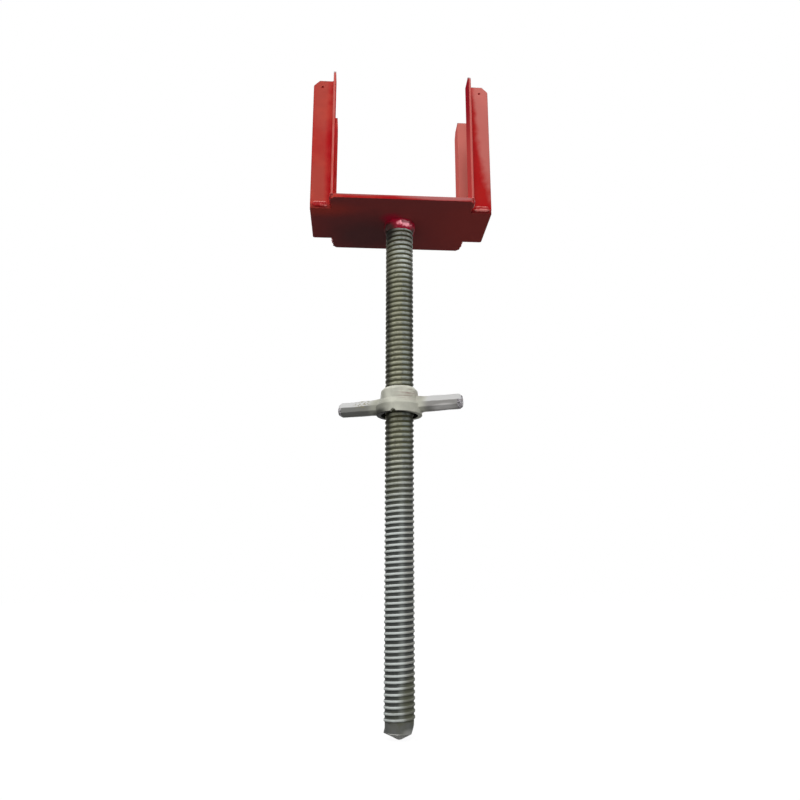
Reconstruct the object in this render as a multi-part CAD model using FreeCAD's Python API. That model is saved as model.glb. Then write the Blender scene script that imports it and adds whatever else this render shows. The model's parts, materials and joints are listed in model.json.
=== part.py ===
import FreeCAD, Part
import math
import os

# Fork head jack: four angle-bar pillars on a cross-shaped plate, a stem welded
# under the plate and a cast wing nut that runs on the stem. Millimetres.
# The origin is the middle of the plate's top, where the beam rests, and +Z is up.

# Beam channels of the head, measured between the pillars
wide_gap = 186.0
narrow_gap = 80.0

# Pillars, four lengths of equal angle bar
angle_leg = 32.0
angle_wall = 3.0
angle_root_radius = 4.0
angle_toe_radius = 1.5
pillar_height = 196.0
pillar_corner_cut = 8.5
nail_hole_diameter = 3.4
nail_hole_drop = 10.5
nail_hole_inset = 12.5

# Head plate
plate_thickness = 6.0
tongue_overhang = 1.0
tongue_corner_cut = 5.0
ear_corner_radius = 3.0

# Weld beads along the feet of the pillars
bead_width = 9.0
bead_height = 2.5
bead_end_gap = 0.5
bead_end_scale = 0.4
bead_facets = 6

# Stem
stem_diameter = 38.0
stem_threaded_length = 653.0
stem_end_diameter = 34.5
stem_end_length = 13.0
stem_nose_diameter = 5.0
stem_nose_length = 7.5
cropped_side_depth = 4.0
cropped_side_angle = 22.0

# Thread of the stem, right-handed, with flat facets round each turn
thread_pitch = 7.0
thread_root_diameter = 34.2
thread_crest_drop = 20.05
thread_facets = 16

# Fillet weld between the plate and the stem, heavier on the front side
stem_weld_plate_leg = 2.6
stem_weld_front_shift = 2.0
stem_weld_stem_leg = 13.0
stem_weld_toe = 0.8
stem_weld_bulge = 1.2
stem_weld_facets = 20

# Hub of the wing nut
nut_drop = 241.0
nut_height = 37.5
nut_bore_clearance = 0.35
nut_top_land = 0.8
collar_chamfer = 4.5
collar_base_radius = 25.6
collar_height = 17.0
body_radius = 31.0
body_shoulder_drop = 25.0
body_draft = 0.6
tube_diameter = 48.3
tube_clearance = 0.5
cup_depth = 7.0
rim_notch_width = 7.0
rim_notch_height = 3.6
rim_notch_angle = 20.0

# Arms of the wing nut, cast with an eight-sided section
arm_reach = 86.0
arm_yaw = -22.0
arm_axis_drop = 24.2
arm_half_width = 9.0
arm_crown_half_width = 3.5
arm_sole_half_width = 4.0
arm_crown_rise = 10.5
arm_side_rise = 2.0
arm_side_fall = 5.0
arm_sole_fall = 9.5
arm_root_start = 21.0
arm_root_scale = 1.18
arm_neck_start = 36.0
arm_tip_scale = 0.95
arm_tip_round = 4.0
arm_end_scale = 0.7

vector = FreeCAD.Vector
origin = vector(0, 0, 0)
up = vector(0, 0, 1)

# Places that follow from the driving dimensions
heel_x = wide_gap / 2
heel_y = narrow_gap / 2
ear_half_length = heel_x + angle_leg
ear_half_depth = heel_y + angle_wall
tongue_half_width = heel_x + angle_wall
tongue_half_depth = heel_y + angle_leg + tongue_overhang
plate_bottom = -plate_thickness
stem_radius = stem_diameter / 2
facets = round(thread_facets)
nut_top = plate_bottom - nut_drop
nut_bottom = nut_top - nut_height


def closed(corners):
    return Part.makePolygon([*corners, corners[0]])


def sewn(faces):
    # One solid from flat faces that close on each other
    shell = Part.makeShell(faces)
    shell.sewShape()
    return Part.makeSolid(shell)


def faceted(sections):
    # A solid with flat faces between sections whose matching sides are parallel
    outlines = [sections[0], sections[-1]]
    for near, far in zip(sections, sections[1:]):
        for step in range(len(near)):
            outlines.append([near[step - 1], near[step], far[step], far[step - 1]])
    return sewn([Part.Face(closed(corners)) for corners in outlines])


def ring_corner(radius, share, height):
    # A place round the Z axis, by its share of a turn from the front
    angle = 2 * math.pi * share - math.pi / 2
    return vector(radius * math.cos(angle), radius * math.sin(angle), height)


def turned(profile):
    # A solid of revolution about Z from a closed run of (radius, height) corners
    corners = [vector(radius, 0, height) for radius, height in profile]
    return Part.Face(closed(corners)).revolve(origin, up, 360)


def in_quarter(shape, side_x, side_y):
    # Mirrors a shape made in the +X +Y quarter of the head into another quarter
    if side_x < 0:
        shape = shape.mirror(origin, vector(1, 0, 0))
    if side_y < 0:
        shape = shape.mirror(origin, vector(0, 1, 0))
    return shape


def swapped_legs(shape):
    # Mirrors a feature of one leg of an angle bar into the other leg
    return shape.mirror(origin, vector(1, -1, 0))


def corner_edges(plate, half_x, half_y):
    # The four upright edges at (+-half_x, +-half_y)
    near = 1e-3

    def at_corner(edge):
        box = edge.BoundBox
        off_corner = max(abs(abs(box.Center.x) - half_x), abs(abs(box.Center.y) - half_y))
        return off_corner < near and box.XLength < near and box.YLength < near

    return [edge for edge in plate.Edges if at_corner(edge)]


def make_head_plate():
    def slab(half_x, half_y):
        corner = vector(-half_x, -half_y, plate_bottom)
        return Part.makeBox(2 * half_x, 2 * half_y, plate_thickness, corner)

    ears = slab(ear_half_length, ear_half_depth)
    tongue = slab(tongue_half_width, tongue_half_depth)
    plate = ears.fuse(tongue).removeSplitter()
    plate = plate.makeFillet(ear_corner_radius, corner_edges(plate, ear_half_length, ear_half_depth))
    return plate.makeChamfer(tongue_corner_cut, corner_edges(plate, tongue_half_width, tongue_half_depth))


def angle_section():
    # Equal angle with its heel at the origin, a rounded root and rounded inner toes
    root = angle_wall + angle_root_radius
    toe = angle_wall - angle_toe_radius
    toe_start = angle_leg - angle_toe_radius
    diagonal = math.sqrt(0.5)
    root_middle = root - angle_root_radius * diagonal
    toe_side = toe + angle_toe_radius * diagonal
    toe_end = toe_start + angle_toe_radius * diagonal

    def line(start, end):
        return Part.LineSegment(vector(*start), vector(*end)).toShape()

    def arc(start, middle, end):
        return Part.Arc(vector(*start), vector(*middle), vector(*end)).toShape()

    return Part.Face(Part.Wire([
        line((0, 0), (angle_leg, 0)),
        line((angle_leg, 0), (angle_leg, toe)),
        arc((angle_leg, toe), (toe_end, toe_side), (toe_start, angle_wall)),
        line((toe_start, angle_wall), (root, angle_wall)),
        arc((root, angle_wall), (root_middle, root_middle), (angle_wall, root)),
        line((angle_wall, root), (angle_wall, toe_start)),
        arc((angle_wall, toe_start), (toe_side, toe_end), (toe, angle_leg)),
        line((toe, angle_leg), (0, angle_leg)),
        line((0, angle_leg), (0, 0)),
    ]))


def make_pillar():
    # Both legs lose their top outer corner; the nail hole is in the leg along X
    beyond = angle_wall
    through = vector(0, angle_wall + 2 * beyond, 0)
    corners = [
        vector(angle_leg - pillar_corner_cut - beyond, -beyond, pillar_height + beyond),
        vector(angle_leg + beyond, -beyond, pillar_height - pillar_corner_cut - beyond),
        vector(angle_leg + beyond, -beyond, pillar_height + beyond),
    ]
    clip = Part.Face(closed(corners)).extrude(through)
    hole_start = vector(angle_leg - nail_hole_inset, -beyond, pillar_height - nail_hole_drop)
    hole = Part.makeCylinder(nail_hole_diameter / 2, through.Length, hole_start, through)
    pillar = angle_section().extrude(up * pillar_height)
    pillar = pillar.cut(clip).cut(swapped_legs(clip)).cut(hole)
    pillar.translate(vector(heel_x, heel_y, 0))
    return pillar


def make_bead(start, end):
    # A bead along X on the face y = 0, swelling to +Y, with ends that taper off
    def section(place, scale):
        angles = [math.pi * step / bead_facets for step in range(round(bead_facets) + 1)]
        rise = scale * bead_height
        spread = scale * bead_width / 2
        return [vector(place, rise * math.sin(angle), -spread * math.cos(angle)) for angle in angles]

    taper = bead_width / 2
    return faceted([
        section(start, bead_end_scale),
        section(start + taper, 1.0),
        section(end - taper, 1.0),
        section(end, bead_end_scale),
    ])


def make_foot_beads():
    # One bead under each leg of a pillar, across its seam with the plate's edge
    inner_end = angle_wall + angle_root_radius + bead_end_gap
    ear_bead = make_bead(inner_end, angle_leg - ear_corner_radius)
    tongue_bead = make_bead(inner_end, angle_leg + tongue_overhang - tongue_corner_cut)
    for bead in (ear_bead, tongue_bead):
        bead.translate(vector(0, angle_wall, 0))
    beads = [ear_bead, swapped_legs(tongue_bead)]
    for bead in beads:
        bead.translate(vector(heel_x, heel_y, 0))
    return beads


def helix_corners(radius, height, count):
    # Corners of a right-hand helix that starts on the front side at a height
    return [ring_corner(radius, step / facets, height + thread_pitch * step / facets) for step in range(count)]


def fan(tip, rim):
    return [Part.Face(closed([tip, start, end])) for start, end in zip(rim, rim[1:] + rim[:1])]


def make_thread(top, bottom):
    # A crest line and a root line wind past both ends, with flanks of flat faces between
    # them, and the ends are then cut square
    front_crest = plate_bottom - thread_crest_drop
    turns_below = math.ceil((front_crest - bottom) / thread_pitch) + 1
    turns_above = math.ceil((top - front_crest) / thread_pitch) + 1
    lowest = front_crest - turns_below * thread_pitch
    last = facets * (turns_below + turns_above)
    crest = helix_corners(stem_radius, lowest, last + facets + 1)
    root = helix_corners(thread_root_diameter / 2, lowest + thread_pitch / 2, last + 1)
    faces = fan(up * (lowest - thread_pitch), crest[:facets + 1] + root[:1])
    faces += fan(up * (crest[-1].z + thread_pitch), crest[last:] + root[-1:])
    for lower, upper in ((crest, root), (root, crest[facets:])):
        for step in range(last):
            faces.append(Part.Face(closed([lower[step], lower[step + 1], upper[step]])))
            faces.append(Part.Face(closed([lower[step + 1], upper[step + 1], upper[step]])))
    between = Part.makeCylinder(stem_diameter, top - bottom, up * bottom)
    return sewn(faces).common(between)


def make_stem():
    thread_end = plate_bottom - stem_threaded_length
    end_bottom = thread_end - stem_end_length
    tip = end_bottom - stem_nose_length
    end_radius = stem_end_diameter / 2
    end = turned([
        (0, thread_end),
        (end_radius, thread_end),
        (end_radius, end_bottom),
        (stem_nose_diameter / 2, tip),
        (0, tip),
    ])
    # The cropped side slopes in towards the nose
    crop = Part.makeBox(stem_diameter, stem_diameter, 2 * stem_diameter,
                        vector(0, -stem_radius, -2 * stem_diameter))
    crop.rotate(origin, vector(0, 1, 0), cropped_side_angle)
    slope_rise = cropped_side_depth / math.tan(math.radians(cropped_side_angle))
    crop.translate(vector(end_radius, 0, end_bottom + slope_rise))
    return make_thread(plate_bottom, thread_end).fuse(end.cut(crop))


def make_stem_weld():
    def outline(radius, front_shift, height):
        count = round(stem_weld_facets)
        shift = vector(0, -front_shift, 0)
        return [ring_corner(radius, step / count, height) + shift for step in range(count)]

    plate_radius = stem_radius + stem_weld_plate_leg
    toe_radius = stem_radius + stem_weld_toe
    weld_bottom = plate_bottom - stem_weld_stem_leg
    swell_radius = (plate_radius + toe_radius) / 2 + stem_weld_bulge
    ring = faceted([
        outline(plate_radius, stem_weld_front_shift, plate_bottom),
        outline(swell_radius, stem_weld_front_shift / 2, plate_bottom - stem_weld_stem_leg / 2),
        outline(toe_radius, 0, weld_bottom),
    ])
    return ring.cut(Part.makeCylinder(stem_radius, stem_weld_stem_leg, up * weld_bottom))


def arm_section(reach, scale):
    # Section of an arm along +X, at a distance from the nut's axis
    half = [
        (arm_crown_half_width, arm_crown_rise),
        (arm_half_width, arm_side_rise),
        (arm_half_width, -arm_side_fall),
        (arm_sole_half_width, -arm_sole_fall),
    ]
    around = half + [(-y, z) for y, z in reversed(half)]
    return [vector(reach, y * scale, z * scale) for y, z in around]


def make_arm():
    arm = faceted([
        arm_section(arm_root_start, arm_root_scale),
        arm_section(arm_neck_start, 1.0),
        arm_section(arm_reach - arm_tip_round, arm_tip_scale),
        arm_section(arm_reach, arm_end_scale),
    ])
    arm.translate(vector(0, 0, nut_top - arm_axis_drop))
    return arm


def make_rim_notch():
    # A round-topped gap through the rim of the cup, on the -Y side
    head_radius = rim_notch_width / 2
    head_height = nut_bottom + rim_notch_height - head_radius
    outward = vector(0, -1, 0)
    head = Part.makeCylinder(head_radius, body_radius, vector(0, 0, head_height), outward)
    leg = Part.makeBox(rim_notch_width, body_radius, rim_notch_height,
                       vector(-head_radius, -body_radius, head_height - rim_notch_height))
    return head.fuse(leg)


def make_wing_nut():
    bore_radius = stem_radius + nut_bore_clearance
    top_radius = bore_radius + nut_top_land
    nut = turned([
        (0, nut_top),
        (top_radius, nut_top),
        (top_radius + collar_chamfer, nut_top - collar_chamfer),
        (collar_base_radius, nut_top - collar_height),
        (body_radius, nut_top - body_shoulder_drop),
        (body_radius - body_draft, nut_bottom),
        (0, nut_bottom),
    ])
    arm = make_arm()
    for turn in (arm_yaw, arm_yaw + 180):
        placed = arm.copy()
        placed.rotate(origin, up, turn)
        nut = nut.fuse(placed)
    floor = vector(0, 0, nut_bottom)
    bore = Part.makeCylinder(bore_radius, nut_height, floor)
    cup = Part.makeCylinder(tube_diameter / 2 + tube_clearance, cup_depth, floor)
    notch = make_rim_notch()
    notch.rotate(origin, up, -rim_notch_angle)
    return nut.removeSplitter().cut([bore, cup, notch])


os.makedirs("parts", exist_ok=True)
nodes = {
    "head_plate": make_head_plate(),
    "stem": make_stem(),
    "stem_weld": make_stem_weld(),
    "wing_nut": make_wing_nut(),
}
pillar = make_pillar()
foot_beads = make_foot_beads()
all_beads = []
for end_name, side_y in (("front", -1), ("rear", 1)):
    for side_name, side_x in (("left", -1), ("right", 1)):
        nodes[f"pillar_{end_name}_{side_name}"] = in_quarter(pillar, side_x, side_y)
        all_beads += [in_quarter(bead, side_x, side_y) for bead in foot_beads]
nodes["pillar_welds"] = Part.makeCompound(all_beads)
for name, shape in nodes.items():
    shape.exportStep(f"parts/{name}.step")
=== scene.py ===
import json
import math

import bmesh
import bpy
from mathutils import Matrix, Vector, noise


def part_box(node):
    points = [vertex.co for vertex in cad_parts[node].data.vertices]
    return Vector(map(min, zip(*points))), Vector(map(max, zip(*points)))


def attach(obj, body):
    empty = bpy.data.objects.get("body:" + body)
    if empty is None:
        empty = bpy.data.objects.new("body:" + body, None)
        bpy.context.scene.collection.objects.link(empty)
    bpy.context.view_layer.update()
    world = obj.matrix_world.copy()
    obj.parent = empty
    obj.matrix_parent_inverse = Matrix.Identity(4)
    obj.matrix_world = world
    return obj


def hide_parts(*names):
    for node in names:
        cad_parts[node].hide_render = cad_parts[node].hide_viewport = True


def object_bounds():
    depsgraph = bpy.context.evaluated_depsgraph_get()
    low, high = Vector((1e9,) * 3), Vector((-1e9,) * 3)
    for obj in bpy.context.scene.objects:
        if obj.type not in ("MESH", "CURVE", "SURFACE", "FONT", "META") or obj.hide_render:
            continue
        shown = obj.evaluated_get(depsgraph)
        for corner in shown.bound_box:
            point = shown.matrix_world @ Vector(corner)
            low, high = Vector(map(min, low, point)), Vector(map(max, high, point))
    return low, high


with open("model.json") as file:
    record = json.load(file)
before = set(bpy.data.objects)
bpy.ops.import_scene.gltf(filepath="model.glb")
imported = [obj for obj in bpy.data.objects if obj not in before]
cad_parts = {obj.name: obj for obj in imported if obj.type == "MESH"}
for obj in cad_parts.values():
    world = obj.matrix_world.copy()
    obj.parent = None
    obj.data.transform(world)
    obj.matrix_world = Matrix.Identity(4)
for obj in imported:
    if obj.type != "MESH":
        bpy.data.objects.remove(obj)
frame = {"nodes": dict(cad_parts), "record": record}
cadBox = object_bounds()
scene = bpy.context.scene
mm = 0.001
up = Vector((0, 0, 1))
right = Vector((1, 0, 0))
print("frame loaded:", ", ".join(sorted(frame["nodes"])))


# mesh helpers

meshLook = {"solidMerge": 0.001 * mm, "spinMerge": 0.01 * mm, "cutGap": 0.0001 * mm,
            "flatAngle": 0.3, "softenBy": 0.5}


def solidCopy(node):
    bm = bmesh.new()
    bm.from_mesh(frame["nodes"][node].data)
    bmesh.ops.remove_doubles(bm, verts=bm.verts, dist=meshLook["solidMerge"])
    return bm


def joinFlats(bm):
    flat = math.radians(meshLook["flatAngle"])
    bmesh.ops.dissolve_limit(bm, angle_limit=flat, verts=bm.verts, edges=bm.edges)


def sharpEdges(bm, degrees):
    limit = math.radians(degrees)
    return [edge for edge in bm.edges if edge.is_manifold and edge.calc_face_angle() > limit]


def roundOff(bm, edges, radius, segments):
    bmesh.ops.bevel(bm, geom=edges, offset=radius, affect="EDGES", segments=segments,
                    profile=0.5, material=-1, clamp_overlap=True)


def voxelSkin(bm, voxel):
    # swaps the bmesh for an even skin of small quads over the same solid
    mesh = bpy.data.meshes.new("draft")
    bm.to_mesh(mesh)
    bm.free()
    draft = bpy.data.objects.new("draft", mesh)
    scene.collection.objects.link(draft)
    skin = draft.modifiers.new("skin", "REMESH")
    skin.mode = "VOXEL"
    skin.voxel_size = voxel
    graph = bpy.context.evaluated_depsgraph_get()
    skinned = bpy.data.meshes.new_from_object(draft.evaluated_get(graph))
    result = bmesh.new()
    result.from_mesh(skinned)
    bpy.data.objects.remove(draft)
    bpy.data.meshes.remove(mesh)
    bpy.data.meshes.remove(skinned)
    return result


def soften(bm, rounds):
    for _ in range(rounds):
        bmesh.ops.smooth_vert(bm, verts=bm.verts, factor=meshLook["softenBy"],
                              use_axis_x=True, use_axis_y=True, use_axis_z=True)


def swell(bm, amount):
    # moves every vertex along its normal by amount(place)
    bm.normal_update()
    moves = [vert.normal * amount(vert.co) for vert in bm.verts]
    for vert, move in zip(bm.verts, moves):
        vert.co += move


def lumps(place, size, seed):
    # a smooth noise; each seed looks at another part of it
    return noise.noise(place / size + Vector((seed, 2.3 * seed, -seed)))


def bump(distance, width):
    return math.exp(-(distance / width) ** 2)


def wireProfile(bm, points):
    verts = [bm.verts.new(point) for point in points]
    edges = [bm.edges.new(pair) for pair in zip(verts, verts[1:])]
    return verts + edges


def trim(bm, place, outward):
    # cuts off what lies outward of a plane and closes the cut
    geom = bm.verts[:] + bm.edges[:] + bm.faces[:]
    bmesh.ops.bisect_plane(bm, geom=geom, dist=meshLook["cutGap"], plane_co=place, plane_no=outward,
                           clear_outer=True)
    bmesh.ops.holes_fill(bm, edges=[edge for edge in bm.edges if edge.is_boundary], sides=0)


def makePiece(name, bm, materials, body, replaced, smoothBelow=40, evenNormals=False):
    limit = math.radians(smoothBelow)
    for face in bm.faces:
        face.smooth = True
    for edge in bm.edges:
        edge.smooth = not edge.is_manifold or edge.calc_face_angle() < limit
    mesh = bpy.data.meshes.new(name)
    bm.to_mesh(mesh)
    bm.free()
    for material in materials:
        mesh.materials.append(material)
    piece = bpy.data.objects.new(name, mesh)
    scene.collection.objects.link(piece)
    if evenNormals:
        piece.modifiers.new("evenNormals", "WEIGHTED_NORMAL").keep_sharp = True
    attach(piece, body)
    if replaced:
        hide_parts(*replaced)
    print("piece", name, len(mesh.polygons), "faces")


# node helpers

def feed(tree, socket, value):
    # links the output of a node, or sets a plain value
    if isinstance(value, bpy.types.NodeSocket):
        tree.links.new(value, socket)
    else:
        socket.default_value = value


def addNode(tree, kind, inputs=None, **settings):
    node = tree.nodes.new(kind)
    for key, value in settings.items():
        setattr(node, key, value)
    for key, value in (inputs or {}).items():
        feed(tree, node.inputs[key], value)
    return node


def newGroup(name, inputs, output):
    tree = bpy.data.node_groups.new(name, "ShaderNodeTree")
    for label, default in inputs.items():
        kind = "NodeSocketVector" if isinstance(default, tuple) else "NodeSocketFloat"
        socket = tree.interface.new_socket(label, in_out="INPUT", socket_type=kind)
        socket.default_value = default
    tree.interface.new_socket(output, in_out="OUTPUT", socket_type="NodeSocketFloat")
    return tree, addNode(tree, "NodeGroupInput").outputs, addNode(tree, "NodeGroupOutput").inputs


def placeGroup(tree, group, **values):
    return addNode(tree, "ShaderNodeGroup", values, node_tree=group).outputs[0]


def math2(tree, operation, first, second, clamp=False):
    inputs = {0: first, 1: second}
    return addNode(tree, "ShaderNodeMath", inputs, operation=operation, use_clamp=clamp).outputs[0]


def times(tree, first, second):
    return math2(tree, "MULTIPLY", first, second)


def wobble(tree, value, amount):
    # swings evenly about nought
    return times(tree, math2(tree, "SUBTRACT", value, 0.5), amount)


def sizeOf(tree, value):
    # a number without its sign
    return addNode(tree, "ShaderNodeMath", {0: value}, operation="ABSOLUTE").outputs[0]


def vectorMath(tree, operation, first, second):
    return addNode(tree, "ShaderNodeVectorMath", {0: first, 1: second}, operation=operation).outputs[0]


def lengthOf(tree, vector):
    return addNode(tree, "ShaderNodeVectorMath", {0: vector}, operation="LENGTH").outputs["Value"]


def ramp(tree, value, low, high, toLow=0.0, toHigh=1.0):
    inputs = {"Value": value, "From Min": low, "From Max": high, "To Min": toLow, "To Max": toHigh}
    return addNode(tree, "ShaderNodeMapRange", inputs, interpolation_type="SMOOTHSTEP").outputs["Result"]


def blendColor(tree, amount, first, second):
    node = addNode(tree, "ShaderNodeMix", {0: amount}, data_type="RGBA")
    for index, tone in ((6, first), (7, second)):
        feed(tree, node.inputs[index], (*tone, 1) if isinstance(tone, tuple) else tone)
    return node.outputs[2]


def objectPlace(tree):
    return addNode(tree, "ShaderNodeTexCoord").outputs["Object"]


def splitPlace(tree, place):
    return addNode(tree, "ShaderNodeSeparateXYZ", {"Vector": place}).outputs


def axisRadius(tree, axes):
    # how far a place is from the stem's axis
    flat = addNode(tree, "ShaderNodeCombineXYZ", {"X": axes["X"], "Y": axes["Y"]}).outputs[0]
    return lengthOf(tree, flat)


def attributeOf(tree, name):
    return addNode(tree, "ShaderNodeAttribute", attribute_name=name).outputs["Fac"]


def noiseAt(tree, place, scale, detail=3.0, roughness=0.55):
    inputs = {"Vector": place, "Scale": scale, "Detail": detail, "Roughness": roughness}
    return addNode(tree, "ShaderNodeTexNoise", inputs).outputs["Fac"]


def newMaterial(name):
    material = bpy.data.materials.new(name)
    material.use_nodes = True
    tree = material.node_tree
    return material, tree, tree.nodes["Principled BSDF"]


def setShader(tree, shader, inputs):
    for label, value in inputs.items():
        feed(tree, shader.inputs[label], value)


def grainRough(tree, grain, look):
    # a noise seldom leaves its middle, which is spread over the whole range
    return ramp(tree, grain, 0.3, 0.7, look["roughLow"], look["roughHigh"])


def grainBump(tree, grain, look):
    inputs = {"Height": grain, "Strength": look["grainStrength"], "Distance": look["grainDepth"]}
    return addNode(tree, "ShaderNodeBump", inputs).outputs["Normal"]


# effects that several finishes share

def makeEdgeWear():
    # one along outer edges, broken up by a noise
    inputs = {"Reach": 1.5 * mm, "Start": 0.3, "End": 0.6, "Breakup": 0.5, "Scale": 300.0}
    tree, given, result = newGroup("edgeWear", inputs, "Mask")
    inner = addNode(tree, "ShaderNodeAmbientOcclusion", {"Distance": given["Reach"]},
                    inside=True, only_local=True, samples=8)
    near = math2(tree, "SUBTRACT", 1.0, inner.outputs["AO"])
    shift = wobble(tree, noiseAt(tree, objectPlace(tree), given["Scale"]), given["Breakup"])
    mask = ramp(tree, math2(tree, "ADD", near, shift), given["Start"], given["End"])
    tree.links.new(mask, result["Mask"])
    return tree


def makeMottle():
    # cloudy variation from a broad and a fine noise
    broadShare, fineShare = 0.7, 0.3
    inputs = {"Scale": 20.0, "Fine": 6.0, "Low": 0.35, "High": 0.65}
    tree, given, result = newGroup("mottle", inputs, "Value")
    place = objectPlace(tree)
    broad = noiseAt(tree, place, given["Scale"], 2.0)
    fine = noiseAt(tree, place, times(tree, given["Scale"], given["Fine"]), 4.0)
    both = math2(tree, "ADD", times(tree, broad, broadShare), times(tree, fine, fineShare))
    tree.links.new(ramp(tree, both, given["Low"], given["High"]), result["Value"])
    return tree


def makeSoftSpot():
    # full in the middle of an egg-shaped region, falling off to its uneven rim
    rimScale, rimUneven = 60.0, 0.3
    inputs = {"Middle": (0.0, 0.0, 0.0), "Reach": (0.01, 0.01, 0.01), "Soft": 0.2, "Strength": 1.0}
    tree, given, result = newGroup("softSpot", inputs, "Mask")
    place = objectPlace(tree)
    offset = vectorMath(tree, "SUBTRACT", place, given["Middle"])
    far = lengthOf(tree, vectorMath(tree, "DIVIDE", offset, given["Reach"]))
    ragged = math2(tree, "ADD", far, wobble(tree, noiseAt(tree, place, rimScale), rimUneven))
    outer = math2(tree, "ADD", 1.0, given["Soft"])
    inner = math2(tree, "SUBTRACT", 1.0, given["Soft"])
    tree.links.new(ramp(tree, ragged, outer, inner, 0.0, given["Strength"]), result["Mask"])
    return tree


edgeWear = makeEdgeWear()
mottle = makeMottle()
softSpot = makeSoftSpot()


def spotMask(tree, middle, reach, soft, strength=1.0):
    return placeGroup(tree, softSpot, Middle=middle, Reach=reach, Soft=soft, Strength=strength)


def tonePlaces(tree, color, look, places="places"):
    # lays tones over the places that differ: tone, middle, reach, softness and strength of each
    for tone, *spot in look[places]:
        color = blendColor(tree, spotMask(tree, *spot), color, look[tone])
    return color


# red enamel of the head, paler in some patches, with painted reflections, highlights and shade laid over it
# in places

paintLook = {
    "deep": (0.48, 0.004, 0.008), "warm": (0.50, 0.012, 0.011), "thinEdgeAndHighlight": (0.60, 0.11, 0.10),
    "paintedReflection": (0.64, 0.18, 0.155), "sunny": (0.48, 0.034, 0.027), "bleached": (0.48, 0.066, 0.048),
    "shaded": (0.15, 0.006, 0.007), "rubbedAndHighlight": (0.53, 0.17, 0.165), "paintedInnerLight": (1.0, 0.20, 0.18),
    "thinnedAndHighlight": (0.42, 0.095, 0.090), "vivid": (1.0, 0.015, 0.03), "footHighlight": (1.0, 0.28, 0.26),
    "toeHighlight": (0.66, 0.15, 0.13), "pale": (0.70, 0.20, 0.165), "bloom": (0.62, 0.085, 0.055),
    "tip": (0.30, 0.25, 0.27), "innerShade": (0.46, 0.018, 0.034), "bareSteel": (0.13, 0.115, 0.11),
    "cloud": {"Scale": 14.0},
    "bloomCloud": {"Scale": 30.0, "Fine": 3.0, "Low": 0.42, "High": 0.66},
    "bloomShare": 0.5, "bloomLeast": 0.05, "bloomSide": -0.09,
    "edgeWear": {"Reach": 2.2 * mm, "Start": 0.25, "End": 0.7, "Breakup": 0.3, "Scale": 420.0},
    "edgeShare": 0.5,
    "chips": {"Reach": 2.5 * mm, "Start": 0.45, "End": 0.5, "Breakup": 0.9, "Scale": 500.0},
    "chipTop": 0.189, "chipFull": 0.197,
    "sheenCloud": {"Scale": 40.0}, "roughLow": 0.36, "roughHigh": 0.5,
    "grainScale": 900.0, "grainStrength": 0.25, "grainDepth": 0.05 * mm,
    "places": [
        ("sunny", (-0.106, -0.045, 0.105), (0.020, 0.040, 0.130), 0.3),
        ("bleached", (-0.106, -0.045, 0.170), (0.020, 0.040, 0.055), 0.5),
        ("bleached", (-0.112, -0.045, 0.030), (0.018, 0.040, 0.040), 0.6),
        # painted shade in the corner beside leg B of the left pillar
        ("deep", (-0.0985, -0.043, 0.085), (0.0065, 0.010, 0.110), 0.6),
        # painted reflections, pale pink, on the front right and the rear right pillar
        ("paintedReflection", (0.131, -0.043, 0.228), (0.0275, 0.014, 0.210), 0.15),
        ("pale", (0.106, 0.052, 0.110), (0.030, 0.036, 0.220), 0.15),
        # painted highlights on the toes of the front pillars
        ("toeHighlight", (0.0945, -0.072, 0.100), (0.003, 0.003, 0.150), 0.3),
        ("toeHighlight", (-0.0945, -0.072, 0.100), (0.003, 0.003, 0.150), 0.3),
        ("tip", (0.0945, -0.066, 0.194), (0.005, 0.014, 0.007), 0.4),
        ("tip", (-0.0945, -0.066, 0.194), (0.005, 0.014, 0.007), 0.4),
        # worn paint on the plate's front edge, also a painted highlight along it
        ("rubbedAndHighlight", (0.056, -0.073, -0.0010), (0.058, 0.003, 0.0042), 0.4),
        ("thinnedAndHighlight", (-0.058, -0.073, -0.0005), (0.038, 0.003, 0.0022), 0.5),
        ("shaded", (-0.110, -0.043, -0.006), (0.022, 0.004, 0.0055), 0.4),
        ("shaded", (0.110, -0.043, -0.006), (0.022, 0.004, 0.0055), 0.4),
        # painted highlights at the front pillars' feet, over a corner that lies in shade
        ("footHighlight", (0.0945, -0.069, 0.0), (0.0045, 0.0045, 0.0015), 0.4),
        ("footHighlight", (-0.0945, -0.069, 0.0), (0.0045, 0.0045, 0.0015), 0.4),
    ],
    "innerPlaces": [("innerShade", (0.093, -0.058, 0.180), (0.006, 0.030, 0.065), 0.6)],
}


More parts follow.
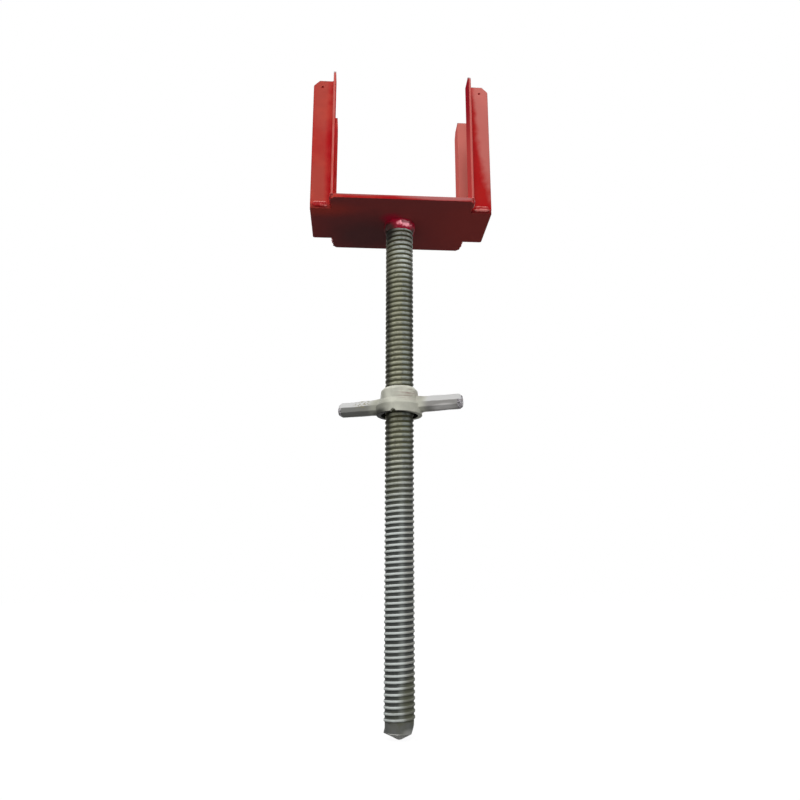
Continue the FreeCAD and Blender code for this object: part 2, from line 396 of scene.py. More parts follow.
def makePaint(name, specular, paintedLightTone=None, paintedLightShare=0.0):
    look = paintLook
    material, tree, shader = newMaterial(name)
    place = objectPlace(tree)
    axes = splitPlace(tree, place)
    cloud = placeGroup(tree, mottle, **look["cloud"])
    color = tonePlaces(tree, blendColor(tree, cloud, look["deep"], look["warm"]), look)
    share = ramp(tree, axes["X"], 0.0, look["bloomSide"], look["bloomLeast"], look["bloomShare"])
    bloom = times(tree, placeGroup(tree, mottle, **look["bloomCloud"]), share)
    color = blendColor(tree, bloom, color, look["bloom"])
    # the inner faces get a lighter tone, painted light
    if paintedLightTone:
        color = blendColor(tree, paintedLightShare, color, look[paintedLightTone])
        color = tonePlaces(tree, color, look, "innerPlaces")
    # thin paint along the edges, also a painted highlight on them
    edge = times(tree, placeGroup(tree, edgeWear, **look["edgeWear"]), look["edgeShare"])
    color = blendColor(tree, edge, color, look["thinEdgeAndHighlight"])
    nearTop = ramp(tree, axes["Z"], look["chipTop"], look["chipFull"])
    chips = times(tree, placeGroup(tree, edgeWear, **look["chips"]), nearTop)
    color = blendColor(tree, chips, color, look["bareSteel"])
    sheen = placeGroup(tree, mottle, **look["sheenCloud"])
    peel = noiseAt(tree, place, look["grainScale"], 2.0)
    setShader(tree, shader, {"Base Color": color, "Specular IOR Level": specular,
                             "Roughness": ramp(tree, sheen, 0.0, 1.0, look["roughLow"], look["roughHigh"]),
                             "Normal": grainBump(tree, peel, look)})
    return material


undersideLook = {
    "dark": (0.32, 0.068, 0.067), "light": (0.39, 0.072, 0.069), "crimson": (0.60, 0.018, 0.060),
    "paintedShade": (0.120, 0.058, 0.060), "rosy": (0.48, 0.078, 0.070), "brick": (0.66, 0.080, 0.058),
    "cloud": {"Scale": 9.0, "Low": 0.3, "High": 0.7}, "roughness": 0.8, "specular": 0.04,
    "grainScale": 700.0, "grainStrength": 0.3, "grainDepth": 0.08 * mm,
    "places": [
        # painted shadow of the stem, behind it and to the left
        ("paintedShade", (-0.045, 0.032, -0.006), (0.060, 0.050, 0.02), 0.7, 0.8),
        ("brick", (-0.112, -0.042, -0.006), (0.040, 0.016, 0.02), 0.8, 0.8),
        ("brick", (0.114, -0.040, -0.006), (0.030, 0.016, 0.02), 0.8, 0.6),
        ("rosy", (0.110, 0.0, -0.006), (0.060, 0.080, 0.02), 0.7, 1.0),
        ("crimson", (-0.0125, -0.021, -0.006), (0.012, 0.012, 0.02), 0.7, 0.9),
    ],
}


def makeUnderside():
    # the dull thin coat below the plate, darker and greyer partly as painted shade, with a painted shadow
    # beside the stem
    look = undersideLook
    material, tree, shader = newMaterial("dullUnderside")
    cloud = placeGroup(tree, mottle, **look["cloud"])
    color = tonePlaces(tree, blendColor(tree, cloud, look["dark"], look["light"]), look)
    grain = noiseAt(tree, objectPlace(tree), look["grainScale"])
    setShader(tree, shader, {"Base Color": color, "Roughness": look["roughness"],
                             "Specular IOR Level": look["specular"], "Normal": grainBump(tree, grain, look)})
    return material


beadPaintLook = {
    "hollow": (0.42, 0.009, 0.011), "ridge": (0.76, 0.21, 0.19), "under": (0.62, 0.014, 0.055),
    "ringHighlight": (0.95, 0.38, 0.44), "paintedShade": (0.09, 0.035, 0.030),
    "wornFrom": 0.35, "wornBy": 0.85, "underFrom": -5.5 * mm, "underBy": -6.5 * mm,
    "specular": 0.15, "paintedShine": 0.75, "roughLow": 0.32, "roughHigh": 0.5,
    "grainScale": 500.0, "grainUneven": 0.4, "grainStrength": 0.3, "grainDepth": 0.1 * mm,
    "places": [
        # painted shade low on the left and the right of the ring weld
        ("paintedShade", (-0.020, -0.012, -0.018), (0.014, 0.016, 0.009), 0.4),
        ("paintedShade", (0.023, -0.010, -0.020), (0.009, 0.012, 0.006), 0.4),
    ],
}


def makeBeadPaint():
    # paint that runs off the ridges of a weld, whose lighter colour is also a painted highlight; "crown" is
    # how proud a place stands on the foot beads, and where a painted highlight with a painted metallic shine
    # goes on the ring weld
    look = beadPaintLook
    material, tree, shader = newMaterial("beadEnamel")
    place = objectPlace(tree)
    grain = noiseAt(tree, place, look["grainScale"])
    crown = math2(tree, "ADD", attributeOf(tree, "crown"), wobble(tree, grain, look["grainUneven"]))
    wornAndLit = ramp(tree, crown, look["wornFrom"], look["wornBy"])
    below = ramp(tree, splitPlace(tree, place)["Z"], look["underFrom"], look["underBy"])
    hollow = tonePlaces(tree, blendColor(tree, below, look["hollow"], look["under"]), look)
    # ridges lighter than the hollows, as thin paint and as a painted highlight; on the ring weld a painted
    # highlight
    ridge = blendColor(tree, below, look["ridge"], look["ringHighlight"])
    setShader(tree, shader, {"Base Color": blendColor(tree, wornAndLit, hollow, ridge),
                             # metallic on the ring weld's crown, a painted shine
                             "Metallic": times(tree, times(tree, wornAndLit, below), look["paintedShine"]),
                             "Roughness": grainRough(tree, grain, look),
                             "Specular IOR Level": look["specular"], "Normal": grainBump(tree, grain, look)})
    return material


# rolled and galvanised stem

threadLook = {
    "pitch": 7 * mm, "depth": 1.3 * mm, "frontCrest": -26.05 * mm, "steps": 56,
    "crestHalf": 0.13, "shoulder": 0.19, "footing": 0.29, "rootHalf": 0.35,  # shares of the pitch
    "shoulderDrop": 0.25, "footingRise": 0.2,  # shares of the depth
}

steelLook = {
    "crestDull": (0.48, 0.485, 0.360), "crestGrey": (0.40, 0.43, 0.38), "greyFrom": 1 * mm, "greyBy": 4 * mm,
    "rootDullAndShaded": (0.095, 0.095, 0.055), "zincHighlight": (0.85, 0.92, 0.84),
    "upperRise": (0.05, 0.5), "zincHighlightRise": (0.1, 0.6),
    "zincHighlightPlace": ((0.008, -0.018, -0.036), (0.016, 0.024, 0.044), 0.6),
    "paintedSideShade": (0.06, 0.06, 0.045), "sideShadeFrom": 9 * mm, "sideShadeBy": 16 * mm,
    "sideShadeThick": 0.95, "sideShadeThin": 0.6, "sideShadeLeast": 0.4,
    "sideShadeTop": -50 * mm, "sideShadeFull": -120 * mm, "sideShadeBack": 3 * mm, "sideShadeFront": -8 * mm,
    "speck": (0.13, 0.13, 0.10), "speckScale": 210.0, "speckRange": (0.48, 0.66), "speckShare": 0.55,
    "rootDark": (0.085, 0.090, 0.085), "rootHighlight": (0.20, 0.215, 0.205),
    "highlightMiddle": 1.8 * mm, "highlightHalf": 6 * mm,
    "crestBright": (0.77, 0.82, 0.79), "crestPaintedShade": (0.46, 0.47, 0.43),
    "crestShadeFrom": 1 * mm, "crestShadeBy": 11 * mm, "lowerRise": (0.45, 0.9),
    "brightFrom": -0.29, "brightBy": -0.45,
    "cloud": {"Scale": 22.0, "Low": 0.5, "High": 0.7}, "cloudShare": 0.35,
    "stain": (0.13, 0.135, 0.085), "paintedShadow": (0.045, 0.040, 0.038),
    "places": [
        ("stain", (0.016, -0.010, -0.634), (0.016, 0.020, 0.030), 0.3, 0.6),
        # painted shadow at the stem's top left, under the weld
        ("paintedShadow", (-0.022, -0.012, -0.018), (0.016, 0.018, 0.020), 0.4, 0.9),
    ],
    "endSteel": (0.18, 0.185, 0.175), "wornAndLit": (0.95, 0.95, 0.89), "plainFrom": 22 * mm, "plainBy": 20 * mm,
    "endPlaces": [
        # bare steel at the cut end, lightened further as painted light where its faces look down
        ("wornAndLit", (0.010, -0.012, -0.671), (0.007, 0.012, 0.004), 0.7, 0.25),
        ("wornAndLit", (-0.009, -0.016, -0.6718), (0.009, 0.012, 0.0008), 0.6, 0.6),
        ("wornAndLit", (-0.002, -0.006, -0.6770), (0.013, 0.014, 0.0050), 0.6, 1.0),
    ],
    "specular": 0.02, "roughLow": 0.38, "roughHigh": 0.6,
    "grainScale": 1200.0, "grainStrength": 0.2, "grainDepth": 0.05 * mm,
}


def makeSteel():
    # above the nut only the roots are dark, below it the crests are worn bright
    look = steelLook
    material, tree, shader = newMaterial("rolledSteel")
    place = objectPlace(tree)
    axes = splitPlace(tree, place)
    stemLow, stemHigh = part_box("stem")
    thread = {"Value": axisRadius(tree, axes),
              "From Min": stemHigh.x - threadLook["depth"], "From Max": stemHigh.x}
    rise = addNode(tree, "ShaderNodeMapRange", thread).outputs["Result"]
    cloud = placeGroup(tree, mottle, **look["cloud"])
    toRight = ramp(tree, axes["X"], look["greyFrom"], look["greyBy"])
    zinc = blendColor(tree, toRight, look["crestDull"], look["crestGrey"])
    # the upper roots are darkened, as dirt and as painted shade in the grooves
    upper = blendColor(tree, ramp(tree, rise, *look["upperRise"]), look["rootDullAndShaded"], zinc)
    # painted highlight, a pale reflection on the crests at the top right of the stem
    zincHighlightMask = times(tree, spotMask(tree, *look["zincHighlightPlace"]), ramp(tree, rise, *look["zincHighlightRise"]))
    upper = blendColor(tree, zincHighlightMask, upper, look["zincHighlight"])
    # painted shade on the stem's left and right sides, on the front half and stronger lower down
    sideShadeMask = times(tree, ramp(tree, sizeOf(tree, axes["X"]), look["sideShadeFrom"], look["sideShadeBy"]),
                  ramp(tree, cloud, 0.0, 1.0, look["sideShadeThick"], look["sideShadeThin"]))
    lowDown = ramp(tree, axes["Z"], look["sideShadeTop"], look["sideShadeFull"], look["sideShadeLeast"], 1.0)
    inFront = ramp(tree, axes["Y"], look["sideShadeBack"], look["sideShadeFront"])
    sideShadeMask = times(tree, times(tree, sideShadeMask, lowDown), inFront)
    upper = blendColor(tree, sideShadeMask, upper, look["paintedSideShade"])
    specks = noiseAt(tree, place, look["speckScale"], 4.0, 0.7)
    specks = ramp(tree, specks, *look["speckRange"], 0.0, look["speckShare"])
    upper = blendColor(tree, specks, upper, look["speck"])
    # lower roots dark, as dirt and as painted shade, with a painted highlight down their middle
    beside = sizeOf(tree, math2(tree, "SUBTRACT", axes["X"], look["highlightMiddle"]))
    root = blendColor(tree, ramp(tree, beside, look["highlightHalf"], 0.0), look["rootDark"], look["rootHighlight"])
    # painted shade on the lower crests toward the right
    crestShadeMask = ramp(tree, axes["X"], look["crestShadeFrom"], look["crestShadeBy"])
    crest = blendColor(tree, crestShadeMask, look["crestBright"], look["crestPaintedShade"])
    lower = blendColor(tree, ramp(tree, rise, *look["lowerRise"]), root, crest)
    used = ramp(tree, axes["Z"], look["brightFrom"], look["brightBy"])
    color = blendColor(tree, used, upper, lower)
    color = blendColor(tree, times(tree, cloud, look["cloudShare"]), color, look["stain"])
    color = tonePlaces(tree, color, look)
    end = tonePlaces(tree, blendColor(tree, cloud, look["endSteel"], look["stain"]), look, "endPlaces")
    plain = ramp(tree, axes["Z"], stemLow.z + look["plainFrom"], stemLow.z + look["plainBy"])
    scratch = noiseAt(tree, place, look["grainScale"])
    setShader(tree, shader, {"Base Color": blendColor(tree, plain, color, end),
                             "Roughness": grainRough(tree, scratch, look),
                             "Specular IOR Level": look["specular"],
                             "Normal": grainBump(tree, scratch, look)})
    return material


# galvanised casting of the nut

castLook = {
    "light": (0.75, 0.75, 0.64), "dull": (0.56, 0.56, 0.48), "cloud": {"Scale": 35.0, "Fine": 2.5},
    "armTopPaintedLight": (0.68, 0.68, 0.67), "topUneven": 0.25, "topFrom": 0.1, "topBy": 0.5,
    "armSidePaintedShade": (0.25, 0.25, 0.235), "armRightSidePaintedShade": (0.36, 0.35, 0.335), "sideFrom": -0.02, "sideBy": 0.02,
    "armFrom": 32 * mm, "armBy": 44 * mm,
    "rust": (0.36, 0.27, 0.23), "rustShare": 0.2,
    "rustCloud": {"Scale": 28.0, "Fine": 9.0, "Low": 0.58, "High": 0.72},
    "paintedShade": (0.03, 0.03, 0.026), "paintedShadeGrey": (0.33, 0.33, 0.28), "bare": (0.85, 0.83, 0.81),
    "places": [
        # painted shade on the left flank and on the collar's left and right edges
        ("paintedShadeGrey", (-0.031, -0.012, -0.273), (0.013, 0.026, 0.013), 0.6, 0.9),
        ("paintedShadeGrey", (-0.026, -0.010, -0.256), (0.006, 0.020, 0.010), 0.8, 0.6),
        ("paintedShadeGrey", (0.027, -0.010, -0.256), (0.006, 0.020, 0.010), 0.8, 0.7),
        # painted shade low on the nut's left
        ("paintedShade", (-0.029, -0.008, -0.284), (0.013, 0.024, 0.006), 0.5, 0.9),
        ("bare", (0.056, -0.030, -0.279), (0.016, 0.012, 0.0045), 0.5, 0.9),
    ],
    "scuff": (0.46, 0.37, 0.32), "scuffPlace": ((0.012, -0.024, -0.260), (0.016, 0.014, 0.008), 0.5),
    "streakStretch": (0.12, 0.12, 1.0), "streakScale": 600.0, "streakRange": (0.46, 0.66),
    "stain": (0.30, 0.28, 0.17), "stainPlace": ((-0.050, 0.012, -0.264), (0.011, 0.014, 0.010), 0.5, 0.8),
    "speckScale": 420.0, "speckRange": (0.45, 0.6),
    "tipLight": (0.66, 0.63, 0.66), "tipDark": (0.16, 0.15, 0.155), "tipRange": (0.45, 0.75),
    "edge": (0.80, 0.80, 0.77), "edgeShare": 0.5,
    "edgeWear": {"Reach": 2.0 * mm, "Start": 0.3, "End": 0.6, "Breakup": 0.5, "Scale": 350.0},
    "cupRadius": 24.6 * mm, "cupRim": 0.4 * mm, "cupTop": -277 * mm, "cupTopSoft": 1 * mm,
    "foot": -284 * mm, "footSoft": 0.5 * mm, "footShadeEnd": 20 * mm,
    "specular": 0.05, "roughLow": 0.45, "roughHigh": 0.62,
    "grainScale": 650.0, "grainStrength": 0.35, "grainDepth": 0.08 * mm,
}


def makeCasting():
    # "upward" is how far a face looks up, "endward" how far it looks along the arms; arm faces that look up
    # get painted light, the others painted shade
    look = castLook
    material, tree, shader = newMaterial("galvanisedCasting")
    place = objectPlace(tree)
    axes = splitPlace(tree, place)
    radius = axisRadius(tree, axes)
    cloud = placeGroup(tree, mottle, **look["cloud"])
    body = blendColor(tree, cloud, look["dull"], look["light"])
    upward = math2(tree, "ADD", attributeOf(tree, "upward"), wobble(tree, cloud, look["topUneven"]))
    toRight = ramp(tree, axes["X"], look["sideFrom"], look["sideBy"])
    # painted shade on the arm sides, lighter on the right arm, and painted light on the arm tops
    side = blendColor(tree, toRight, look["armSidePaintedShade"], look["armRightSidePaintedShade"])
    arm = blendColor(tree, ramp(tree, upward, look["topFrom"], look["topBy"]), side, look["armTopPaintedLight"])
    color = blendColor(tree, ramp(tree, radius, look["armFrom"], look["armBy"]), body, arm)
    rust = times(tree, placeGroup(tree, mottle, **look["rustCloud"]), look["rustShare"])
    color = tonePlaces(tree, blendColor(tree, rust, color, look["rust"]), look)
    stretched = vectorMath(tree, "MULTIPLY", place, look["streakStretch"])
    streak = ramp(tree, noiseAt(tree, stretched, look["streakScale"], 2.0), *look["streakRange"])
    scuff = times(tree, streak, spotMask(tree, *look["scuffPlace"]))
    color = blendColor(tree, scuff, color, look["scuff"])
    specks = ramp(tree, noiseAt(tree, place, look["speckScale"], 2.0), *look["speckRange"])
    stain = times(tree, specks, spotMask(tree, *look["stainPlace"]))
    color = blendColor(tree, stain, color, look["stain"])
    tip = ramp(tree, attributeOf(tree, "endward"), *look["tipRange"])
    color = blendColor(tree, tip, color, blendColor(tree, specks, look["tipLight"], look["tipDark"]))
    edge = times(tree, placeGroup(tree, edgeWear, **look["edgeWear"]), look["edgeShare"])
    color = blendColor(tree, edge, color, look["edge"])
    # painted shade inside the cup and on the downward foot, fading out toward the right
    inCup = times(tree, ramp(tree, radius, look["cupRadius"] + look["cupRim"], look["cupRadius"]),
                  ramp(tree, axes["Z"], look["cupTop"] + look["cupTopSoft"], look["cupTop"]))
    onFoot = times(tree, ramp(tree, axes["Z"], look["foot"] + look["footSoft"], look["foot"]),
                   ramp(tree, axes["X"], look["footShadeEnd"], 0.0))
    color = blendColor(tree, math2(tree, "MAXIMUM", inCup, onFoot), color, look["paintedShade"])
    grain = noiseAt(tree, place, look["grainScale"], 4.0)
    setShader(tree, shader, {"Base Color": color, "Roughness": grainRough(tree, grain, look),
                             "Specular IOR Level": look["specular"], "Normal": grainBump(tree, grain, look)})
    return material


redEnamel = makePaint("redEnamel", specular=0.03)
# inside the fork, where beams rub the gloss away; the colour there is lifted as painted light, a vivid red on
# the left and a pale pink on the right, which is also a painted reflection
mattEnamel = makePaint("mattEnamel", specular=0.0, paintedLightTone="vivid", paintedLightShare=0.7)
innerLitEnamel = makePaint("innerLitEnamel", specular=0.0, paintedLightTone="paintedInnerLight", paintedLightShare=0.45)
beadEnamel = makeBeadPaint()
dullUnderside = makeUnderside()
rolledSteel = makeSteel()
galvanisedCasting = makeCasting()
print("finishes made")


# head plate and pillars: the solids with their edges eased

barLook = {"edgeRadius": 0.6 * mm, "segments": 2, "sharp": 30, "facing": 0.7, "footing": 1 * mm}


def makeHead():
    look = barLook
    pillars = sorted(node for node in frame["nodes"] if node.startswith("pillar_") and node != "pillar_welds")
    for node in ["head_plate"] + pillars:
        bm = solidCopy(node)
        joinFlats(bm)
        edges = sharpEdges(bm, look["sharp"])
        low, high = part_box(node)
        if node == "head_plate":
            second, facing = dullUnderside, -up
        else:
            # a pillar's foot stays square on the plate
            edges = [edge for edge in edges if max(vert.co.z for vert in edge.verts) > look["footing"]]
            second, facing = (innerLitEnamel, -right) if low.x + high.x > 0 else (mattEnamel, right)
        roundOff(bm, edges, look["edgeRadius"], look["segments"])
        for face in bm.faces:
            face.material_index = int(face.normal.dot(facing) > look["facing"])
        makePiece(node + "_painted", bm, [redEnamel, second], "head", [node], evenNormals=True)


makeHead()


# paint that has clogged the small nail holes

clogLook = {"overlap": 0.3 * mm, "thickness": 0.8 * mm, "depth": 0.6 * mm, "dish": 0.25 * mm, "segments": 24}


def makeClogs():
    look = clogLook
    bm = bmesh.new()
    mounts = {mount["name"]: mount for mount in frame["record"]["mounts"]}
    for name in ("nails_front", "nails_rear"):
        middle = Vector(mounts[name]["pos_m"])
        sizes = mounts[name]["dims"]
        radius = sizes["hole_r_mm"] * mm + look["overlap"]
        inward = -math.copysign(look["depth"], middle.y)
        for side in (-1, 1):
            disc = bmesh.ops.create_cone(bm, cap_ends=True, segments=look["segments"], radius1=radius,
                                         radius2=radius, depth=look["thickness"])["verts"]
            ends = [face for face in bm.faces
                    if len(face.verts) == look["segments"] and face.verts[0] in disc]
            bmesh.ops.inset_individual(bm, faces=ends, thickness=radius / 2, depth=-look["dish"])
            disc += [vert for face in ends for vert in face.verts]
            bmesh.ops.rotate(bm, verts=disc, cent=(0, 0, 0), matrix=Matrix.Rotation(math.pi / 2, 3, "X"))
            place = middle + Vector((side * sizes["spacing_x_mm"] * mm / 2, inward, 0))
            bmesh.ops.translate(bm, verts=disc, vec=place)
    makePiece("nail_hole_paint", bm, [beadEnamel], "head", [])


makeClogs()


# weld beads, painted over

footLook = {
    "voxel": 0.45 * mm, "ridgeHeight": 0.8 * mm, "ridgeWidth": 1.3 * mm, "sink": 0.3 * mm,
    "wander": 0.9 * mm, "wanderSize": 7 * mm,
    "upper": 3.2 * mm, "upperMean": 0.9, "upperSwing": 0.5, "upperSize": 5 * mm,
    "lower": -2.3 * mm, "lowerMean": 0.95, "lowerSwing": 0.7, "lowerSize": 6 * mm, "lowerWiden": 1.7,
    "leftBlob": -106 * mm, "leftBlobReach": 8 * mm,
    "ripple": 3.4 * mm, "rippleDepth": 0.2 * mm, "rippleSkew": 0.8 * mm, "rippleSkewSize": 3 * mm,
    "lump": 0.5 * mm, "lumpSize": 5 * mm,
}


def crownOf(bm, amount):
    # stores how proud each place stands, or where a painted highlight goes, for the paint
    layer = bm.verts.layers.float.new("crown")
    for vert in bm.verts:
        vert[layer] = amount(vert.co)


def makeFootWelds():
    look = footLook
    bm = voxelSkin(solidCopy("pillar_welds"), look["voxel"])

    def crown(place):
        wander = look["wander"] * lumps(place, look["wanderSize"], 9)
        lower = look["lowerMean"] + look["lowerSwing"] * lumps(place, look["lowerSize"], 2)
        if place.x < 0:
            lower *= bump(place.x - look["leftBlob"], look["leftBlobReach"])
        upper = look["upperMean"] + look["upperSwing"] * lumps(place, look["upperSize"], 8)
        return max(upper * bump(place.z - look["upper"] - wander, look["ridgeWidth"]),
                   lower * bump(place.z - look["lower"] + wander, look["lowerWiden"] * look["ridgeWidth"]))

    def shape(place):
        along = place.x + place.y + look["rippleSkew"] * lumps(place, look["rippleSkewSize"], 4)
        ripple = look["rippleDepth"] * math.sin(2 * math.pi * along / look["ripple"])
        ridge = look["ridgeHeight"] * crown(place) - look["sink"]
        return ridge + ripple + look["lump"] * lumps(place, look["lumpSize"], 1)

    crownOf(bm, crown)
    swell(bm, shape)
    soften(bm, 1)
    makePiece("pillar_beads", bm, [beadEnamel], "head", ["pillar_welds"], smoothBelow=80)


makeFootWelds()

ringLook = {
    "voxel": 0.55 * mm, "blobs": 11, "blobDepth": 0.4 * mm, "blobTwist": 60,
    "lump": 0.9 * mm, "lumpSize": 8 * mm,
    "crown": (0.007, -0.021, -0.0120), "crownReach": (0.0140, 0.010, 0.0055),
    "crownSwing": 0.4, "crownSize": 3 * mm,
}


def makeRingWeld():
    look = ringLook
    bm = voxelSkin(solidCopy("stem_weld"), look["voxel"])

    # here the crown marks where the painted highlight goes, front right, not how proud the weld stands
    def crown(place):
        offset = place - Vector(look["crown"])
        far = Vector(along / reach for along, reach in zip(offset, look["crownReach"])).length
        return bump(far, 1.0) * (1 + look["crownSwing"] * lumps(place, look["crownSize"], 6))

    def shape(place):
        around = math.atan2(place.y, place.x)
        blob = look["blobDepth"] * math.sin(look["blobs"] * around + look["blobTwist"] * place.z)
        return blob + look["lump"] * lumps(place, look["lumpSize"], 7)

    crownOf(bm, crown)
    swell(bm, shape)
    soften(bm, 2)
    makePiece("stem_bead", bm, [beadEnamel], "head", ["stem_weld"], smoothBelow=80)


makeRingWeld()


# stem: a right-hand thread over most of its length and a plain cropped end

endLook = {
    "length": 13 * mm, "overlap": 2 * mm, "noseLength": 7.5 * mm, "noseRadius": 2.5 * mm,
    "cropDepth": 4 * mm, "cropAngle": 22, "steps": 48, "rows": 12, "evenTop": 3 * mm,
    "burr": 1.3 * mm, "burrSize": 3.5 * mm, "rough": 0.25 * mm, "roughSize": 6 * mm,
}


def makeThread(bm, crestRadius, top, bottom):
    look = threadLook
    pitch, depth = look["pitch"], look["depth"]
    rootRadius = crestRadius - depth
    shoulder = crestRadius - look["shoulderDrop"] * depth
    footing = rootRadius + look["footingRise"] * depth
    turn = [
        (crestRadius, -look["crestHalf"]), (crestRadius, look["crestHalf"]),
        (shoulder, look["shoulder"]), (footing, look["footing"]),
        (rootRadius, look["rootHalf"]), (rootRadius, 1 - look["rootHalf"]),
        (footing, 1 - look["footing"]), (shoulder, 1 - look["shoulder"]),
    ]
    # spare turns at both ends, cut off by the trims
    first = math.floor((bottom - look["frontCrest"]) / pitch) - 2
    last = math.ceil((top - look["frontCrest"]) / pitch) + 1
    profile = [(0, -radius, look["frontCrest"] + pitch * (number + share))
               for number in range(first, last) for radius, share in turn]
    bmesh.ops.spin(bm, geom=wireProfile(bm, profile), axis=up, cent=(0, 0, 0),
                   dvec=up * pitch / look["steps"], angle=2 * math.pi, steps=look["steps"], use_merge=False)
    bmesh.ops.remove_doubles(bm, verts=bm.verts, dist=meshLook["spinMerge"])
    trim(bm, up * top, up)
    trim(bm, up * bottom, -up)
    bmesh.ops.recalc_face_normals(bm, faces=bm.faces)


def makeStemEnd(bm, radius, top, tip):
    look = endLook
    endBottom = tip + look["noseLength"]
    shares = [row / look["rows"] for row in range(1, look["rows"] + 1)]
    taper = radius - look["noseRadius"]
    profile = [(0, 0, top), (0, -radius, top)]
    profile += [(0, -radius, top + (endBottom - top) * share) for share in shares]
    profile += [(0, -radius + taper * share, endBottom - look["noseLength"] * share) for share in shares]
    profile.append((0, 0, tip))
    bmesh.ops.spin(bm, geom=wireProfile(bm, profile), axis=up, cent=(0, 0, 0), angle=2 * math.pi,
                   steps=look["steps"], use_merge=True)
    bmesh.ops.remove_doubles(bm, verts=bm.verts, dist=meshLook["spinMerge"])
    bmesh.ops.recalc_face_normals(bm, faces=bm.faces)
    burrPlace = Vector((-radius, 0, endBottom))
    for vert in bm.verts:
        if vert.co.z < top - look["evenTop"]:
            outward = Vector((vert.co.x, vert.co.y, 0))
            lip = look["burr"] * bump((vert.co - burrPlace).length, look["burrSize"])
            vert.co += outward.normalized() * (lip + look["rough"] * lumps(vert.co, look["roughSize"], 11))
    angle = math.radians(look["cropAngle"])
    cropTop = Vector((radius, 0, endBottom + look["cropDepth"] / math.tan(angle)))
    trim(bm, cropTop, Vector((math.cos(angle), 0, -math.sin(angle))))


def makeStem():
    stemLow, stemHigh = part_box("stem")
    endTop = stemLow.z + endLook["noseLength"] + endLook["length"]
    bm = bmesh.new()
    makeThread(bm, stemHigh.x, stemHigh.z, endTop)
    end = bmesh.new()
    makeStemEnd(end, stemHigh.x - threadLook["depth"], endTop + endLook["overlap"], stemLow.z)
    endMesh = bpy.data.meshes.new("stemEnd")
    end.to_mesh(endMesh)
    end.free()
    bm.from_mesh(endMesh)
    bpy.data.meshes.remove(endMesh)
    makePiece("threaded_stem", bm, [rolledSteel], "head", ["stem"], smoothBelow=50)


makeStem()


# wing nut: the casting with soft edges and an uneven skin

nutLook = {
    "voxel": 0.55 * mm, "rounds": 2,
    "wave": 0.3 * mm, "waveSize": 14 * mm, "pit": 0.1 * mm, "pitSize": 3 * mm,
    "armYaw": -22, "tipFrom": 76 * mm, "tipBy": 81 * mm, "tipTilt": 0.3,
}


def makeNut():
    look = nutLook
    bm = voxelSkin(solidCopy("wing_nut"), look["voxel"])
    soften(bm, look["rounds"])

    def skin(place):
        wave = look["wave"] * lumps(place, look["waveSize"], 3)
        return wave + look["pit"] * lumps(place, look["pitSize"], 5)

    swell(bm, skin)
    bm.normal_update()
    along = Matrix.Rotation(math.radians(look["armYaw"]), 3, "Z") @ right
    upward = bm.verts.layers.float.new("upward")
    endward = bm.verts.layers.float.new("endward")
    for vert in bm.verts:
        vert[upward] = vert.normal.z
        reach = abs(vert.co.dot(along))
        if reach > look["tipFrom"]:
            rounded = reach > look["tipBy"] and vert.normal.z < look["tipTilt"]
            vert[endward] = max(abs(vert.normal.dot(along)), float(rounded))
    makePiece("cast_wing_nut", bm, [galvanisedCasting], "nut", ["wing_nut"], smoothBelow=80)


makeNut()


# floor, light and camera

stageLook = {"floorSize": 14.0, "floorShade": 0.18, "shadowShade": 0.10, "ambient": 0.06,
             "glow": 0.94, "glowNear": 0.5, "glowFar": 2.0}


def seenDirectly(tree):
    # one for what the camera, a mirror or a glass looks at
    path = addNode(tree, "ShaderNodeLightPath").outputs
    both = math2(tree, "ADD", path["Is Camera Ray"], path["Is Glossy Ray"], clamp=True)
    return math2(tree, "ADD", both, path["Is Transmission Ray"], clamp=True)


def greyDiffuse(tree, shade):
    return addNode(tree, "ShaderNodeBsdfDiffuse", {"Color": (shade, shade, shade, 1)}).outputs[0]


def makeFloor():
    look = stageLook
    bm = bmesh.new()
    bmesh.ops.create_grid(bm, x_segments=1, y_segments=1, size=look["floorSize"] / 2)
    bmesh.ops.translate(bm, verts=bm.verts, vec=up * cadBox[0][2])
    mesh = bpy.data.meshes.new("floor")
    bm.to_mesh(mesh)
    bm.free()
    floor = bpy.data.objects.new("floor", mesh)
    scene.collection.objects.link(floor)
    material, tree, shader = newMaterial("paleFloor")
    tree.nodes.remove(shader)
    away = lengthOf(tree, objectPlace(tree))
    strength = ramp(tree, away, look["glowNear"], look["glowFar"], look["glow"], 1.0)
    glow = addNode(tree, "ShaderNodeEmission", {"Strength": strength}).outputs[0]
    white = addNode(tree, "ShaderNodeAddShader", {0: glow, 1: greyDiffuse(tree, look["shadowShade"])})
    inputs = {0: seenDirectly(tree), 1: greyDiffuse(tree, look["floorShade"]), 2: white.outputs[0]}
    both = addNode(tree, "ShaderNodeMixShader", inputs)
    tree.links.new(both.outputs[0], tree.nodes["Material Output"].inputs["Surface"])
    mesh.materials.append(material)


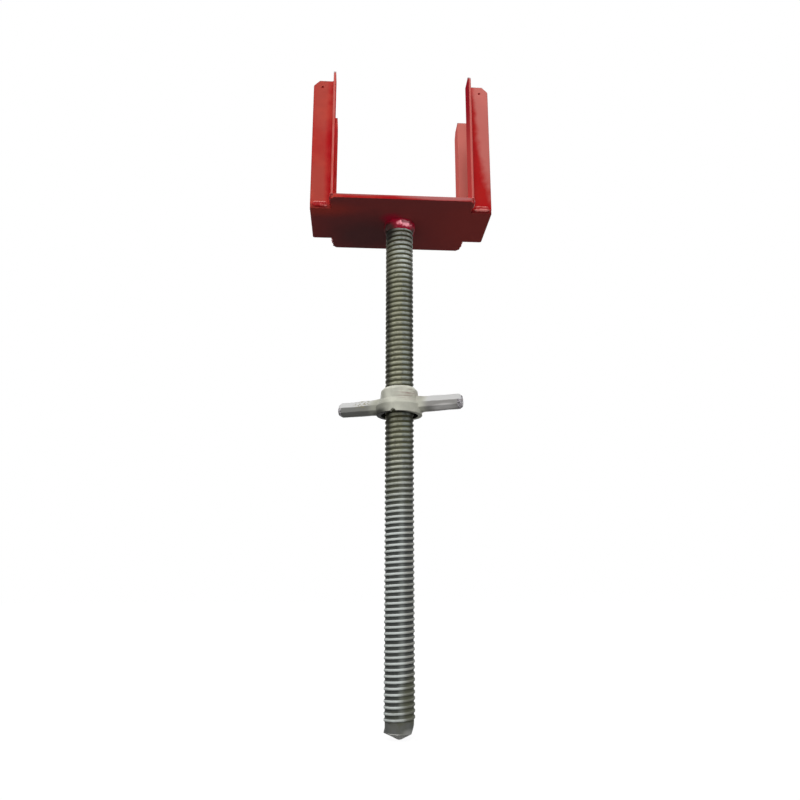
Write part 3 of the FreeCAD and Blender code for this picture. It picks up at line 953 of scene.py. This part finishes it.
def makeWorld():
    world = bpy.data.worlds.new("studio")
    scene.world = world
    world.use_nodes = True
    tree = world.node_tree
    strength = ramp(tree, seenDirectly(tree), 0.0, 1.0, stageLook["ambient"], 1.0)
    setShader(tree, tree.nodes["Background"], {"Color": (1, 1, 1, 1), "Strength": strength})


lampLook = {
    "keyFront": {"place": (-0.10, -1.85, 1.44), "aim": (0, 0, -0.2), "size": (1.1, 1.0), "power": 27},
    "frontFill": {"place": (-0.10, -2.6, -0.10), "aim": (0, 0, -0.25), "size": (1.2, 1.2), "power": 17},
    "leftHigh": {"place": (-1.1, -0.4, 1.9), "aim": (0, 0, -0.1), "size": (0.7, 0.7), "power": 20},
    "rightBox": {"place": (0.95, -1.5, 1.25), "aim": (0.1, 0, 0.1), "size": (0.8, 0.8), "power": 3},
    "backLeft": {"place": (-1.2, 2.1, 0.7), "aim": (0, 0, -0.2), "size": (1.0, 1.0), "power": 14},
    "backRight": {"place": (1.2, 2.1, 0.7), "aim": (0, 0, -0.2), "size": (1.0, 1.0), "power": 14},
    "rightSide": {"place": (2.1, 0.9, 0.4), "aim": (0, 0, -0.2), "size": (1.0, 1.0), "power": 9},
}

cameraLook = {"place": (-0.05927, -0.92341, -0.50284), "aim": (0.0008, 0, -0.2624),
              "lens": 32.19, "sensor": 36, "clipStart": 0.01}


def placeAndAim(name, data, look):
    item = bpy.data.objects.new(name, data)
    item.location = look["place"]
    item.rotation_euler = (Vector(look["aim"]) - item.location).to_track_quat("-Z", "Y").to_euler()
    scene.collection.objects.link(item)
    return item


def makeLamps():
    for name, look in lampLook.items():
        lamp = bpy.data.lights.new(name, "AREA")
        lamp.shape = "RECTANGLE"
        lamp.size, lamp.size_y = look["size"]
        lamp.energy = look["power"]
        placeAndAim(name, lamp, look)


def makeCamera():
    camera = bpy.data.cameras.new("camera")
    camera.lens = cameraLook["lens"]
    camera.sensor_width = cameraLook["sensor"]
    camera.clip_start = cameraLook["clipStart"]
    scene.camera = placeAndAim("camera", camera, cameraLook)


makeFloor()
makeWorld()
makeLamps()
makeCamera()
scene.view_settings.view_transform = "Standard"
print("stage, lamps and camera set")
